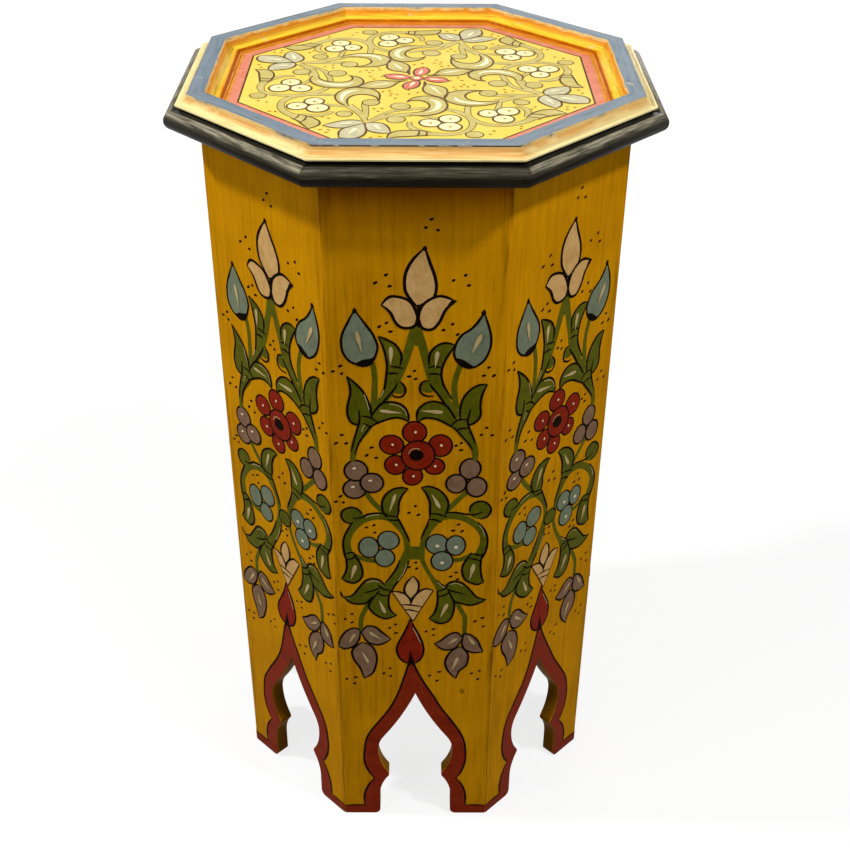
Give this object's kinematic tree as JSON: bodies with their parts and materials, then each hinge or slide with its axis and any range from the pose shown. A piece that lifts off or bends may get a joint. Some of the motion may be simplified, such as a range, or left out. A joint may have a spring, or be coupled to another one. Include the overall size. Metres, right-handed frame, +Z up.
{
  "type": "octagonal side table",
  "caption": "Octagonal painted side table: mitred boards with keyhole arches between the feet, half-round nosing and a raised moulded rim round a recessed top panel.",
  "frame": {"origin": "on the floor under the middle of the table", "axes": "+Z up, -Y out of the front board, +X to the right as seen from the front"},
  "size_m": [0.337, 0.337, 0.61],
  "materials": {
    "ochre_paint": "satin ochre paint with a painted floral pattern",
    "panel_paint": "satin pale yellow paint with a painted floral pattern",
    "rim_paint": "satin paint in bands of grey blue, cream and ochre",
    "black_paint": "worn gloss black paint",
    "bare_wood": "bare sawn softwood",
    "nail_steel": "plain drawn steel"
  },
  "bodies": {
    "root": {"side_board_front": "ochre_paint", "side_board_front_right": "ochre_paint", "side_board_right": "ochre_paint", "side_board_back_right": "ochre_paint", "side_board_back": "ochre_paint", "side_board_back_left": "ochre_paint", "side_board_left": "ochre_paint", "side_board_front_left": "ochre_paint", "corner_block_1": "bare_wood", "corner_block_2": "bare_wood", "corner_block_3": "bare_wood", "corner_block_4": "bare_wood", "corner_block_5": "bare_wood", "corner_block_6": "bare_wood", "corner_block_7": "bare_wood", "corner_block_8": "bare_wood", "nosing_front": "black_paint", "nosing_front_right": "black_paint", "nosing_right": "black_paint", "nosing_back_right": "black_paint", "nosing_back": "black_paint", "nosing_back_left": "black_paint", "nosing_left": "black_paint", "nosing_front_left": "black_paint", "rim_front": "rim_paint", "rim_front_right": "rim_paint", "rim_right": "rim_paint", "rim_back_right": "rim_paint", "rim_back": "rim_paint", "rim_back_left": "rim_paint", "rim_left": "rim_paint", "rim_front_left": "rim_paint", "top_board": "panel_paint", "cleat_front": "bare_wood", "cleat_right": "bare_wood", "cleat_back": "bare_wood", "cleat_left": "bare_wood", "cleat_top_nails": "nail_steel", "cleat_side_nails": "nail_steel", "rim_brads": "nail_steel", "nosing_brads": "nail_steel"}
  },
  "joints": []
}
